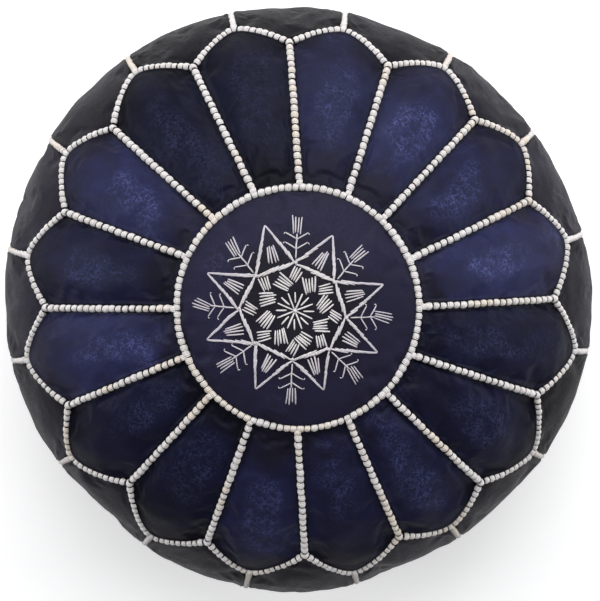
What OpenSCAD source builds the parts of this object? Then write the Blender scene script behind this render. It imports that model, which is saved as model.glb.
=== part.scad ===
// Moroccan leather pouf: a stuffed round cover of navy leather. A round medallion, sixteen
// petals, sixteen side panels and a base are joined by cords whipped with cream thread, and a
// zip in the base lets the wadding in. Millimetres, +Z up. The origin is the centre of the
// contact plane under the base.

/* [Cover] */
// Widest diameter of the stuffed cover
pouf_d = 520; // [500:5:540]
// Height of the widest point above the floor
waist_z = 150; // [140:5:160]
// Radius of the domed crown
crown_r = 380; // [360:10:420]
// Radius of the shoulder between crown and waist
shoulder_r = 130; // [120:5:140]
// Radius of the side below the waist
side_r = 250; // [240:5:260]
// Radius of the rounded bottom edge
corner_r = 50; // [45:1:55]
// Thickness of the leather
hide_t = 2; // [1.5:0.1:2.5]

/* [Panels] */
// Number of petals, and of side panels
petals = 16; // [12:4:20]
// Middle of the cord round the medallion
ring_r = 97; // [85:1:105]
// Plan radius where two petals and a side panel meet
valley_r = 212.5; // [208:0.5:216]
// Plan radius of each petal's tip
tip_r = 234.5; // [230:0.5:238]
// How far each half scallop swells beyond its own line
scallop_swell = 0.5; // [0:0.1:2]
// Roundness of each petal's tip
tip_round = 0.15; // [0.05:0.01:0.3]
// Unevenness of the cutting by hand, from none to full
hand_cut = 1; // [0:0.1:1.2]
// Direction of the seam between side panels and base, measured from straight up
base_seam_phi = 150; // [145:1:152]

/* [Seam cords] */
// Width of the thread beads that cover each seam
bead_w = 6; // [5:0.2:7]
// Height of the beads above the leather
bead_proud = 2.4; // [1.5:0.1:3]

/* [Embroidery] */
// Radius of the eight star tips
star_tip_r = 72.5; // [66:0.5:78]
// Radius of the star's inner crossings
star_node_r = 40; // [36:0.5:44]
// Height of the thread above the leather
thread_proud = 0.9; // [0.5:0.1:1.2]

/* [Base and zip] */
// Height of the base's hollow middle, which keeps the zip off the floor
base_rise = 7; // [7:0.5:10]
// Length of the slit for the zip
slit_len = 252; // [240:2:260]
// Spacing of the teeth along one row
tooth_pitch = 3; // [3:0.5:4]
// Length of the pull tab
tab_len = 24; // [18:1:30]

/* [Hidden] */
$fn = 96;
gap = 0.2;              // clearance between neighbouring pieces of the cover
fill_gap = 0.3;         // clearance between the leather and the wadding
half_bead = bead_w / 2;
pitch_deg = 360 / petals;
reach = 320;            // longer than any radius of the cover
half_steps = 8;         // straight steps along each half scallop

// The profile is four arcs, each tangent to the next. phi is the direction of the surface
// normal: 0 is straight up, 90 is level and 180 is straight down.
shoulder_x = pouf_d / 2 - shoulder_r;
crown_end = asin(shoulder_x / (crown_r - shoulder_r));
crown_z = waist_z - (crown_r - shoulder_r) * cos(crown_end);
side_x = pouf_d / 2 - side_r;
side_end = acos((corner_r - waist_z) / (side_r - corner_r));
corner_x = side_x + (side_r - corner_r) * sin(side_end);
cover_top = crown_z + crown_r;

dish_out = 150;         // the base's hollow starts here
dish_in = 140;          // and is at its full height here
wadding_split = 16;     // height of the joint between the two waddings

// Zip, as heights above the floor
tape_t = 0.8;
tape_z = base_rise + hide_t + 0.05;
tooth_z = tape_z + tape_t / 2;
tooth_half = 1.3;
tape_in = 1.2;          // inner edge of each tape
tape_out = 15;
slit_half = 7.8;
tooth_tip = 0.9;        // each tooth reaches this far past the middle
tooth_back = 2.8;
tooth_len = 1.1;
slider_half = 7;        // half length of the slider
slider_w = 6.2;         // half width
slider_wall = 1;
slider_lower = [tooth_z - 3.15, tooth_z - 1.75];
slider_upper = [tooth_z + 1.75, tooth_z + 2.95];
slider_x = slit_len / 2 - 14;
open_x = 2;             // teeth start to part this far behind the slider's middle
post_x = [3, 6];
post_half = 0.7;
pin_z = tooth_z - 5.05;
pin_r = 0.7;
eye_r = 1.6;
eye_bore_r = 1;
tab_t = 1.2;

NAVY = [0.13, 0.13, 0.2];
NAVY_DEEP = [0.1, 0.1, 0.15];
CHARCOAL = [0.18, 0.17, 0.2];
CREAM = [0.9, 0.87, 0.83];
BRASS = [0.72, 0.58, 0.32];

function two_digits(i) = i < 10 ? str("0", i) : str(i);
function petal_name(k) = str("petal_", two_digits(k + 1));
function side_name(k) = str("side_panel_", two_digits(k + 1));

// How far the hand-cut pieces stray from an even layout, going round from +X. Spokes and tips
// turn by degrees, a spoke's inner end leans by degrees, and valleys and tips shift outwards.
spoke_turn = [0, 0.5, 0, 0.5, 0.5, 0, 0, -0.5, -0.5, 0, 0.5, 0.5, 0.5, 0, -0.5, 0.5];
spoke_lean = [-0.5, -0.5, 0.5, -3, -2.5, -3, -3, -3, -0.5, -0.5, -2, -2, -2, 0.5, 0.5, -1.5];
tip_turn = [0.5, 0.5, 0.5, 0.5, 0.5, 0, -0.5, 0, -0.5, -0.5, 0.5, 0, -0.5, -0.5, 0, 0];
valley_shift = [2, -2, 0, -1, 5, 2, -1, -5.5, -3.5, -4, -8, 1.5, -2, 1, 2.5, 2];
tip_shift = [-1, -3.5, -1.5, -2, 1.5, 2.5, -3.5, -5, -1.5, -3, 0.5, -1.5, 1.5, -4, 4, 5.5];

function stray(list, k) = hand_cut * list[((k + petals) % petals) % len(list)];
function mix(a, b, t) = a + (b - a) * t;
function polar(r, a) = [r * cos(a), r * sin(a)];

// Seam layout. Angles are measured from +X; spoke k lies between petals k - 1 and k.
function spoke_az(k) = k * pitch_deg + stray(spoke_turn, k);
function tip_az(k) = (k + 0.5) * pitch_deg + stray(tip_turn, k);
function valley_at(k) = valley_r + stray(valley_shift, k);
function tip_at(k) = tip_r + stray(tip_shift, k);
function spoke_root(k) = polar(ring_r, spoke_az(k) + stray(spoke_lean, k));
function spoke_end(k) = polar(valley_at(k), spoke_az(k));
function cos_phi(r) = cos(asin((r - shoulder_x) / shoulder_r));

// Half scallop from the valley at spoke s to the tip of petal k; u runs from 0 to 1.
function blunt(t) = sqrt(t * t + tip_round * tip_round) - tip_round;
function off_tip(t) = blunt(t) / blunt(1);
function half_r(s, k, u) =
    mix(tip_at(k), valley_at(s), off_tip(1 - u)) + scallop_swell * 4 * u * (1 - u);
function half_az(s, k, u) = mix(spoke_az(s), tip_az(k), u);
function half_slope(s, k, u) =
    let (e = 0.01, lo = max(0, u - e), hi = min(1, u + e), r = half_r(s, k, u))
    (half_r(s, k, hi) - half_r(s, k, lo)) / cos_phi(r)
    / (r * (half_az(s, k, hi) - half_az(s, k, lo)) * PI / 180);
// Slope at the ends, shared by the two half scallops that meet there: u is 0 in the valley of
// spoke s and 1 at the tip of petal k
function end_slope(s, k, u) =
    u == 0
        ? (abs(half_slope(s, s - 1, 0)) + abs(half_slope(s, s, 0))) / 2
        : (abs(half_slope(k, k, 1)) + abs(half_slope(k + 1, k, 1))) / 2;
// The point of that half scallop moved w outwards over the surface, square to the seam
function edge_point(s, k, u, w) =
    let (r = half_r(s, k, u), at_end = u == 0 || u == 1,
        m = at_end ? end_slope(s, k, u) : half_slope(s, k, u),
        rise = w * cos_phi(r) * (at_end ? sqrt(1 + m * m) : 1 / sqrt(1 + m * m)),
        drift = at_end ? 0 : -w * m / sqrt(1 + m * m) / r * 180 / PI)
    polar(r + rise, half_az(s, k, u) + drift);
function half_edge(s, k, w) = [for (i = [0:half_steps]) edge_point(s, k, i / half_steps, w)];
function half_edge_back(s, k, w, last) =
    [for (i = [half_steps - 1:-1:last]) edge_point(s, k, i / half_steps, w)];
function petal_edge(k, w) = concat(half_edge(k, k, w), half_edge_back(k + 1, k, w, 0));
function scallop_outline(w) = [
    for (k = [0:petals - 1]) each concat(half_edge(k, k, w), half_edge_back(k + 1, k, w, 1))
];
// The two half scallops that meet in the valley of spoke k, from tip to tip
function valley_edge(k, w) = concat(
    [edge_point(k, k - 1, 1, w)], half_edge_back(k, k - 1, w, 1), half_edge(k, k, w)
);

// Half-plane profile helpers; x is the radius and y the height. Each arc has a zone of the
// half plane to itself, and sits a hair inside the arc above it so that zones meet cleanly.
arc_step = 0.06;
crown_cut = crown_r * sin(crown_end);
corner_cut = corner_r + corner_r * cos(side_end);
ARCS = [
    [0, crown_z, crown_r],
    [shoulder_x, waist_z, shoulder_r - arc_step],
    [side_x, waist_z, side_r - 2 * arc_step],
    [corner_x, corner_r, corner_r - 3 * arc_step]
];
ZONES = [
    [0, crown_cut, waist_z, 2 * reach],
    [crown_cut, 2 * reach, waist_z, 2 * reach],
    [0, 2 * reach, corner_cut, waist_z],
    [corner_x, 2 * reach, 0, corner_cut]
];

module box_2d(x0, x1, y0, y1) polygon([[x0, y0], [x1, y0], [x1, y1], [x0, y1]]);
module arc_disc(arc, d) translate([arc[0], arc[1]]) circle(arc[2] + d);
module zone(i) box_2d(ZONES[i][0], ZONES[i][1], ZONES[i][2], ZONES[i][3]);

// The strip along arc i, from `inner` below the cover's surface to `outer` above it
module skin_arc(i, outer, inner) {
    intersection() {
        difference() {
            arc_disc(ARCS[i], outer);
            arc_disc(ARCS[i], -inner);
        }
        zone(i);
    }
}

// The strip along the bottom edge, between two directions of the surface normal
module corner_band(outer, inner, from, to) {
    middle = (from + to) / 2;
    centre = [corner_x, corner_r];
    intersection() {
        difference() {
            arc_disc(ARCS[3], outer);
            arc_disc(ARCS[3], -inner);
        }
        polygon(concat([centre], [for (a = [from, middle, to]) centre + reach * [sin(a), cos(a)]]));
    }
}

module top_skin(outer, inner) {
    rotate_extrude() intersection() {
        union() {
            skin_arc(0, outer, inner);
            skin_arc(1, outer, inner);
        }
        box_2d(ring_r - bead_w, reach, waist_z + 20, 2 * reach);
    }
}

module side_skin(outer, inner, to) {
    low = [corner_x, corner_r];
    rotate_extrude() intersection() {
        union() for (i = [1:3]) skin_arc(i, outer, inner);
        polygon([
            low, low + reach * [sin(to), cos(to)], [2 * reach, waist_z],
            [2 * reach, 2 * reach], [valley_r - 10, 2 * reach], [valley_r - 10, waist_z]
        ]);
    }
}

seam_step = half_bead / corner_r * 180 / PI;
seam_clear = (half_bead + gap) / corner_r * 180 / PI;

module medallion() {
    color(NAVY) intersection() {
        translate([0, 0, crown_z]) difference() {
            sphere(crown_r);
            sphere(crown_r - hide_t);
        }
        translate([0, 0, waist_z]) cylinder(h = reach, r = ring_r - half_bead - gap);
    }
}

module spoke_strip(k, half) {
    run = spoke_end(k) - spoke_root(k);
    translate(spoke_root(k)) rotate(atan2(run[1], run[0])) translate([-half_bead, -half])
        square([reach, 2 * half]);
}

module petal_shape(k) {
    difference() {
        polygon(concat([spoke_root(k)], petal_edge(k, -half_bead - gap), [spoke_root(k + 1)]));
        spoke_strip(k, half_bead + gap);
        spoke_strip(k + 1, half_bead + gap);
        circle(ring_r + half_bead + gap);
    }
}

module petal(k) {
    color(k % 2 == 0 ? NAVY : NAVY_DEEP) intersection() {
        top_skin(0, hide_t);
        translate([0, 0, waist_z]) linear_extrude(height = reach) petal_shape(k);
    }
}

module side_strip(k, half) rotate(tip_az(k)) translate([0, -half]) square([reach, 2 * half]);

module side_shape(k) {
    difference() {
        polygon([[0, 0], polar(reach, tip_az(k - 1)), polar(reach, spoke_az(k)), polar(reach, tip_az(k))]);
        side_strip(k - 1, half_bead + gap);
        side_strip(k, half_bead + gap);
    }
}

// Everything above the waist that lies inside the scalloped seam's outer edge
module inside_scallops() {
    translate([0, 0, waist_z]) linear_extrude(height = reach) polygon(scallop_outline(half_bead + gap));
}

module side_panel(k) {
    color(CHARCOAL) difference() {
        intersection() {
            side_skin(0, hide_t, base_seam_phi - seam_clear);
            linear_extrude(height = reach) side_shape(k);
        }
        inside_scallops();
    }
}

module base_panel() {
    color(CHARCOAL) difference() {
        rotate_extrude() {
            corner_band(0, hide_t, base_seam_phi + seam_clear, 180);
            polygon([
                [0, base_rise], [dish_in, base_rise], [dish_out, 0], [corner_x, 0],
                [corner_x, hide_t], [dish_out + 1, hide_t], [dish_in + 1, base_rise + hide_t],
                [0, base_rise + hide_t]
            ]);
        }
        translate([-slit_len / 2, -slit_half, 0]) cube([slit_len, 2 * slit_half, 30]);
    }
}

module medallion_cord() {
    color(CREAM) intersection() {
        translate([0, 0, crown_z]) difference() {
            sphere(crown_r + bead_proud);
            sphere(crown_r - hide_t);
        }
        translate([0, 0, waist_z]) difference() {
            cylinder(h = reach, r = ring_r + half_bead);
            translate([0, 0, -1]) cylinder(h = reach + 2, r = ring_r - half_bead);
        }
    }
}

module petal_cord(k) {
    intersection() {
        top_skin(bead_proud, hide_t);
        translate([0, 0, waist_z]) linear_extrude(height = reach) difference() {
            intersection() {
                spoke_strip(k, half_bead);
                polygon(concat([[0, 0]], valley_edge(k, -half_bead - gap)));
            }
            circle(ring_r + half_bead + gap);
        }
    }
}

module petal_cords() {
    color(CREAM) for (k = [0:petals - 1]) petal_cord(k);
}

module scallop_cord() {
    color(CREAM) intersection() {
        top_skin(bead_proud, hide_t);
        translate([0, 0, waist_z]) linear_extrude(height = reach) difference() {
            polygon(scallop_outline(half_bead));
            polygon(scallop_outline(-half_bead));
        }
    }
}

module side_cord(k) {
    difference() {
        intersection() {
            side_skin(bead_proud, hide_t, base_seam_phi - seam_clear);
            linear_extrude(height = reach) side_strip(k, half_bead);
        }
        inside_scallops();
    }
}

module side_cords() {
    color(CREAM) for (k = [0:petals - 1]) side_cord(k);
}

module base_cord() {
    color(CREAM) rotate_extrude()
        corner_band(bead_proud, hide_t, base_seam_phi - seam_step, base_seam_phi + seam_step);
}

// Embroidery: flat strokes laid over the medallion's dome. The star is sewn by eye, a little
// off the middle; its tips and nodes stray in radius and turn, and so do the fishbones.
star_twist = 17.7;
node_twist = -4.2;
star_offset = [-2.5, -1.2];
star_tip_shift = [0.5, -6, -1, 3, 1, -2.5, -5, 1];
star_tip_turn = [-2.5, -0.5, 0.5, 3, -0.5, -0.5, 1, -1];
star_node_shift = [1, -1.5, -2, 1, 4.5, 0.5, -1.5, 0.5];
star_node_turn = [-4.5, -6, 2, 6, 0.5, -3, 0, -1];
bone_turn = [4, 7, 1, -3, -2, -6, 1, 4.5];

module stroke(p, q, w) {
    along = q - p;
    translate(p) rotate(atan2(along[1], along[0])) translate([0, -w / 2]) square([norm(along), w]);
}

module on_crown() {
    intersection() {
        translate([0, 0, crown_z]) difference() {
            sphere(crown_r + thread_proud);
            sphere(crown_r + 0.05);
        }
        translate([star_offset[0], star_offset[1], waist_z]) linear_extrude(height = reach)
            children();
    }
}

function by_eye(list, i) = hand_cut * list[i % 8];
function star_tip_az(i) = star_twist + 45 * i + by_eye(star_tip_turn, i);
function star_node_az(i) = node_twist + 45 * i + by_eye(star_node_turn, i);
function star_tip(i) = polar(star_tip_r + by_eye(star_tip_shift, i), star_tip_az(i));
function star_node(i) = polar(star_node_r + by_eye(star_node_shift, i), star_node_az(i));

module star_embroidery() {
    thread_w = 3.2;
    color(CREAM) on_crown() for (i = [0:7]) {
        stroke(star_tip(i), star_node(i + 1), thread_w);
        stroke(star_node(i + 1), star_node(i + 2), thread_w);
        stroke(star_node(i + 2), star_tip(i + 2), thread_w);
    }
}

module rosette_embroidery() {
    thread_w = 1.2;
    ray = 14.5;
    color(CREAM) on_crown() for (i = [0:7]) {
        stroke([0, 0], polar(ray, star_twist + 45 * i), thread_w);
        stroke(polar(6.5, node_twist + 45 * i), polar(ray, node_twist + 45 * i), thread_w);
    }
}

// A block of parallel stitches centred at p, all in direction a
module stitch_block(p, a, count, length, spacing, w) {
    translate(p) rotate(a) for (i = [0:count - 1])
        translate([-length / 2, (i - (count - 1) / 2) * spacing - w / 2]) square([length, w]);
}

module hatch_embroidery() {
    color(CREAM) on_crown() for (i = [0:7]) {
        big = (star_node_az(i) + star_node_az(i + 1)) / 2 - 1.8;
        small = star_node_az(i) + 1;
        middle = (star_tip(i) + star_node(i) + star_node(i + 1)) / 3;
        stitch_block(polar(23.3, big), big + 35, 5, 11, 2, 1.4);
        stitch_block(star_node(i) - polar(9.6, small), small - 28, 4, 9, 1.9, 1.3);
        stitch_block(middle, star_tip_az(i) - 6, 4, 14, 1.9, 1.3);
    }
}

module fishbone_embroidery() {
    branch = [5, 9.5];
    color(CREAM) on_crown() for (i = [0:7])
        translate(star_node(i)) rotate(node_twist + 45 * i + by_eye(bone_turn, i)) {
            stroke([4.2, 0], [21, 0], 1.8);
            for (foot = [11, 18.5], side = [-1, 1])
                stroke([foot, 0], [foot + branch[0], side * branch[1]], 1.6);
            stitch_block([29, 0], -8, 4, 14, 2.1, 1.4);
        }
}

// Zip. The closed zip runs along X, and its slider waits at the +X end.
module zip_tape(side) {
    length = slit_len + 16;
    color(NAVY_DEEP) translate([-length / 2, side > 0 ? tape_in : -tape_out, tape_z])
        cube([length, tape_out - tape_in, tape_t]);
}

// Clamp on the tape's inner edge, drawn for the side y < 0: it wraps the tape above and below
module clamp(x, length, tip, back, half) {
    translate([x, 0, tooth_z]) rotate([90, 0, 90]) linear_extrude(height = length) polygon([
        [tip, -half], [tip, half], [-back, half], [-back, tape_t / 2 + 0.05],
        [-tape_in + 0.05, tape_t / 2 + 0.05], [-tape_in + 0.05, -tape_t / 2 - 0.05],
        [-back, -tape_t / 2 - 0.05], [-back, -half]
    ]);
}

// How far the rows have parted at x, which happens inside the slider
function parting(x) = 2 * max(0, min(1, (x - slider_x + open_x) / 6));
row_start = -slit_len / 2 + 9;
row_end = slit_len / 2 - 6;

// The jaws stay on the tape while a parted tooth's head is shorter
module teeth(offset_x) {
    for (x = [row_start + offset_x:tooth_pitch:row_end]) {
        p = parting(x);
        clamp(x - tooth_len / 2, tooth_len, tooth_tip - p, tooth_back + p / 2, tooth_half);
    }
}

module zip_teeth(side) {
    color(BRASS) if (side < 0) teeth(0);
    else mirror([0, 1, 0]) teeth(tooth_pitch / 2);
}

module zip_top_stops() {
    color(BRASS) for (side = [0, 1]) mirror([0, side, 0])
        clamp(slit_len / 2 - 4.8, 2.4, -0.7, 3.6, 1.5);
}

module zip_bottom_stop() {
    x = -slit_len / 2 + 3.6;
    color(BRASS) difference() {
        translate([x, -3.4, tooth_z - 1.5]) cube([2.4, 6.8, 3]);
        for (side = [-1, 1]) translate([x - 1, side > 0 ? tape_in - 0.05 : -5, tape_z - 0.05])
            cube([5, 5 - tape_in + 0.05, tape_t + 0.1]);
    }
}

module zip_end_patches() {
    color(CHARCOAL) for (side = [-1, 1])
        translate([side > 0 ? slit_len / 2 + 1 : -slit_len / 2 - 8, -tape_out, tape_z + tape_t + 0.1])
            cube([7, 2 * tape_out, 1.2]);
}

module slider_plan() {
    nose = 3.5;
    translate([-slider_half, -slider_w + 0.6]) square([2 * slider_half - nose, 2 * slider_w - 1.2]);
    translate([slider_half - nose - 3, -slider_w]) square([nose + 3, 2 * slider_w]);
}

module zip_slider() {
    heights = [slider_lower, slider_upper];
    color(BRASS) translate([slider_x, 0, 0]) {
        for (plate = heights)
            translate([0, 0, plate[0]]) linear_extrude(height = plate[1] - plate[0]) slider_plan();
        translate([post_x[0], -post_half, slider_lower[0] + 0.2])
            cube([post_x[1] - post_x[0], 2 * post_half, slider_upper[1] - slider_lower[0] - 0.4]);
        for (side = [-1, 1]) {
            y = side > 0 ? slider_w - slider_wall - 0.6 : -slider_w + 0.6;
            translate([-slider_half, y, slider_lower[0] + 0.2])
                cube([2 * slider_half - 0.2, slider_wall, tape_z - 0.3 - slider_lower[0] - 0.2]);
            translate([-slider_half, y, tape_z + tape_t + 0.3])
                cube([2 * slider_half - 0.2, slider_wall, slider_upper[1] - tape_z - tape_t - 0.5]);
            translate([-1.6, side > 0 ? 1.9 : -2.9, pin_z - 1.1])
                cube([3.2, 1, slider_lower[1] - 0.2 - pin_z + 1.1]);
        }
        translate([0, 2.6, pin_z]) rotate([90, 0, 0]) cylinder(h = 5.2, r = pin_r);
    }
}

module pull_tab() {
    color(BRASS) translate([slider_x, 0, pin_z]) difference() {
        union() {
            translate([0, 1.6, 0]) rotate([90, 0, 0]) cylinder(h = 3.2, r = eye_r);
            translate([-6, -1.6, -tab_t / 2]) cube([6, 3.2, tab_t]);
            translate([-tab_len + 4, -4, -tab_t / 2]) cube([tab_len - 9, 8, tab_t]);
            translate([-tab_len + 4, 0, -tab_t / 2]) cylinder(h = tab_t, r = 4);
        }
        translate([0, 3, 0]) rotate([90, 0, 0]) cylinder(h = 6, r = eye_bore_r);
        translate([-tab_len + 4, 0, -tab_t]) cylinder(h = 2 * tab_t, r = 1.8);
    }
}

// Wadding fills the cover from height `low` to `high`, and outwards from radius `from`
module wadding(low, high, from) {
    inset = hide_t + fill_gap;
    rotate_extrude() intersection() {
        union() {
            for (i = [0:3]) intersection() {
                arc_disc(ARCS[i], -inset);
                zone(i);
            }
            box_2d(0, corner_x, inset, corner_cut);
        }
        box_2d(from, reach, low, high);
    }
}

module cotton_wadding() {
    color(CREAM) wadding(wadding_split, cover_top, 0);
}

module rim_wadding() {
    color(CREAM) wadding(hide_t + fill_gap, wadding_split - fill_gap, dish_out + 3);
}

medallion();
for (k = [0:petals - 1]) petal(k);
for (k = [0:petals - 1]) side_panel(k);
base_panel();
medallion_cord();
petal_cords();
scallop_cord();
side_cords();
base_cord();
star_embroidery();
rosette_embroidery();
hatch_embroidery();
fishbone_embroidery();
zip_tape(-1);  // zip_tape_front
zip_tape(1);  // zip_tape_back
zip_teeth(-1);  // zip_teeth_front
zip_teeth(1);  // zip_teeth_back
zip_top_stops();
zip_bottom_stop();
zip_end_patches();
zip_slider();
pull_tab();
cotton_wadding();
rim_wadding();
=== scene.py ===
import math

import bpy
import numpy as np
from mathutils import Matrix, Vector


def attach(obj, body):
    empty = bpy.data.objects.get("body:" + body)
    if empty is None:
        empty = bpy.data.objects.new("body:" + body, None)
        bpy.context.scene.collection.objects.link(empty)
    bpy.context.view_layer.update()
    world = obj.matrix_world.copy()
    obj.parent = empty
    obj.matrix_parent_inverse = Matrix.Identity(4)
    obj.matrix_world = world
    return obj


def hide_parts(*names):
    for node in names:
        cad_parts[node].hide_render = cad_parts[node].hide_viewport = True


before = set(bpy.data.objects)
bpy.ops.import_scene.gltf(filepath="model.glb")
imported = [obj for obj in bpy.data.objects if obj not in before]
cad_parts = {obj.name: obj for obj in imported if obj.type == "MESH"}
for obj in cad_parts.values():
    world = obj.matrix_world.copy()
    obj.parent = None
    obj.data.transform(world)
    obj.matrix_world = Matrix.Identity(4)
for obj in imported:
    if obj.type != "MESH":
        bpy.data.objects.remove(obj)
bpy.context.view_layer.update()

MM = 0.001
ROOT = "pouf"

# Cover profile in millimetres, as in the CAD: four arcs, each tangent to the next. phi is the
# direction of the normal: 0 is straight up, pi/2 level, pi straight down.
CROWN_R, SHOULDER_R, SIDE_R, CORNER_R = 380.0, 130.0, 250.0, 50.0
SHOULDER_X, WAIST_Z, SIDE_X = 130.0, 150.0, 10.0
CROWN_END = math.asin(SHOULDER_X / (CROWN_R - SHOULDER_R))
CROWN_Z = WAIST_Z - (CROWN_R - SHOULDER_R) * math.cos(CROWN_END)
SIDE_END = math.acos((CORNER_R - WAIST_Z) / (SIDE_R - CORNER_R))
CORNER_X = SIDE_X + (SIDE_R - CORNER_R) * math.sin(SIDE_END)
ARC_X = np.array([0.0, SHOULDER_X, SIDE_X, CORNER_X])
ARC_Z = np.array([CROWN_Z, WAIST_Z, WAIST_Z, CORNER_R])
ARC_R = np.array([CROWN_R, SHOULDER_R, SIDE_R, CORNER_R])
PHI_KNOTS = np.array([0.0, CROWN_END, math.pi / 2, SIDE_END, math.pi])
S_KNOTS = np.concatenate([[0.0], np.cumsum(ARC_R * np.diff(PHI_KNOTS))])

PETALS = 16
PITCH = 360.0 / PETALS
RING_R = 97.0
BASE_PHI = math.radians(150.0)
S_BASE = float(np.interp(BASE_PHI, PHI_KNOTS, S_KNOTS))
VALLEY_R, TIP_R, SCALLOP_SWELL, TIP_BLUNT = 212.5, 234.5, 0.5, 0.15
HIDE = 1.7           # thickness of each panel's leather, a little under the CAD's
SEAM_SINK = 1.6      # panel edges meet this far below the nominal surface, under the thread
BEAD_PITCH = 5.55
HUB_V = 0.02         # the medallion's grid starts this share of its radius from the centre


def profile(s):
    """Radius, height and normal direction at arc length s from the top's centre."""
    s = np.asarray(s, float)
    phi = np.interp(s, S_KNOTS, PHI_KNOTS)
    i = np.clip(np.searchsorted(S_KNOTS, s, side="right") - 1, 0, 3)
    past = np.maximum(0.0, s - S_KNOTS[-1])
    return ARC_X[i] + ARC_R[i] * np.sin(phi) - past, ARC_Z[i] + ARC_R[i] * np.cos(phi), phi


def s_of_r(r):
    """Arc length at plan radius r, on the upper half."""
    r = np.asarray(r, float)
    on_crown = np.arcsin(np.clip(r / CROWN_R, -1, 1))
    on_shoulder = np.arcsin(np.clip((r - SHOULDER_X) / SHOULDER_R, -1, 1))
    return np.interp(np.where(on_crown < CROWN_END, on_crown, on_shoulder), PHI_KNOTS, S_KNOTS)


# How far uneven stuffing pushes the widest level out or in, at each spoke's azimuth, going by
# the photograph's outline
STUFFING = np.array([2.5, -4, -5.5, -6, -3.5, -0.5, 0, -2.5, -2, -2.5, -7.5, 0.5, 2.5, -4.5, -2, 3.5])


def lump(az, phi):
    """Push of the stuffing along the normal. It fades out towards the scallops and the base."""
    turn = np.mod(np.asarray(az, float) / PITCH, PETALS)
    i = np.floor(turn).astype(int)
    across = smooth(turn - i, 0, 1)
    height = STUFFING[i % PETALS] * (1 - across) + STUFFING[(i + 1) % PETALS] * across
    slope = np.degrees(phi)
    return height * smooth(slope, 48, 88) * (1 - smooth(slope, 105, 142))


def frame_at(az, s):
    """Points on the stuffed surface, and the normals of the round surface under them."""
    r, z, phi = profile(s)
    a = np.radians(az)
    normal = np.stack([np.sin(phi) * np.cos(a), np.sin(phi) * np.sin(a), np.cos(phi) + 0 * a], -1)
    nominal = np.stack([r * np.cos(a), r * np.sin(a), z + 0 * a], -1)
    return nominal + lump(az, phi)[..., None] * normal, normal


# Seam layout, as in the CAD: how far each hand-cut seam strays from an even layout, in degrees
# or millimetres, going by the photograph. Spoke k lies between petals k - 1 and k.
SPOKE_TURN = (0, 0.5, 0, 0.5, 0.5, 0, 0, -0.5, -0.5, 0, 0.5, 0.5, 0.5, 0, -0.5, 0.5)
SPOKE_LEAN = (-0.5, -0.5, 0.5, -3, -2.5, -3, -3, -3, -0.5, -0.5, -2, -2, -2, 0.5, 0.5, -1.5)
TIP_TURN = (0.5, 0.5, 0.5, 0.5, 0.5, 0, -0.5, 0, -0.5, -0.5, 0.5, 0, -0.5, -0.5, 0, 0)
VALLEY_SHIFT = (2, -2, 0, -1, 5, 2, -1, -5.5, -3.5, -4, -8, 1.5, -2, 1, 2.5, 2)
TIP_SHIFT = (-1, -3.5, -1.5, -2, 1.5, 2.5, -3.5, -5, -1.5, -3, 0.5, -1.5, 1.5, -4, 4, 5.5)


def spoke_az(k):
    return k * PITCH + SPOKE_TURN[k % PETALS]


def tip_az(k):
    return (k + 0.5) * PITCH + TIP_TURN[k % PETALS]


def valley_at(k):
    return VALLEY_R + VALLEY_SHIFT[k % PETALS]


def tip_at(k):
    return TIP_R + TIP_SHIFT[k % PETALS]


def lean(k, r):
    """Degrees by which spoke k, straight in plan, has turned from its outer end at radius r."""
    root = math.radians(SPOKE_LEAN[k % PETALS])
    end_r = valley_at(k)
    run = math.sqrt(RING_R**2 + end_r**2 - 2 * RING_R * end_r * math.cos(root))
    off_centre = RING_R * end_r * math.sin(root) / run
    well_inside = 60.0
    at_r = np.arcsin(off_centre / np.clip(r, well_inside, end_r))
    return np.degrees(at_r - math.asin(off_centre / end_r))


def off_tip(t):
    """Fall of a half scallop from its rounded tip, t from 0 at the tip to 1 at the valley."""
    soft = TIP_BLUNT * TIP_BLUNT
    return (np.sqrt(t * t + soft) - TIP_BLUNT) / (math.sqrt(1 + soft) - TIP_BLUNT)


def half_scallop(s, k, w):
    """Azimuth and plan radius from the valley at spoke s to the tip of petal k, w from 0 to 1."""
    tip, valley = tip_at(k), valley_at(s)
    az = spoke_az(s) + (tip_az(k) - spoke_az(s)) * w
    return az, tip + (valley - tip) * off_tip(1 - w) + SCALLOP_SWELL * 4 * w * (1 - w)


def two_halves(u, w, one, other):
    az, r = np.where(np.asarray(u) <= 0.5, half_scallop(*one, w), half_scallop(*other, w))
    return az, s_of_r(r)


def scallop(k, u):
    """Azimuth and arc length along petal k's outer edge, u from 0 at spoke k to 1 at spoke k + 1."""
    return two_halves(u, 1 - np.abs(1 - 2 * u), (k, k), (k + 1, k))


def side_top(k, u):
    """The same along side panel k's upper edge, u from 0 at tip k - 1 to 1 at tip k."""
    return two_halves(u, np.abs(1 - 2 * u), (k, k - 1), (k, k))


# Smooth noise from a hash of the lattice, the same on every run
def hash01(*keys):
    h = np.zeros(np.broadcast(*keys).shape, np.uint64) + np.uint64(1469598103)
    for key in keys:
        h = (h ^ np.asarray(key).astype(np.int64).astype(np.uint64)) * np.uint64(1099511628211)
        h ^= h >> np.uint64(29)
    h = h * np.uint64(0x9E3779B97F4A7C15)
    return ((h >> np.uint64(40)) & np.uint64(0xFFFFFF)).astype(float) / 0xFFFFFF


def noise(p, size, seed):
    """Value noise between -1 and 1 at points p, with features about `size` millimetres long."""
    q = p / size
    cell = np.floor(q).astype(np.int64)
    f = q - cell
    f = f * f * f * (f * (f * 6 - 15) + 10)
    total = 0.0
    for corner in np.ndindex(2, 2, 2):
        share = np.where(corner, f, 1 - f).prod(-1)
        total = total + share * hash01(*np.moveaxis(cell + np.array(corner), -1, 0), seed)
    return 2 * total - 1


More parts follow.
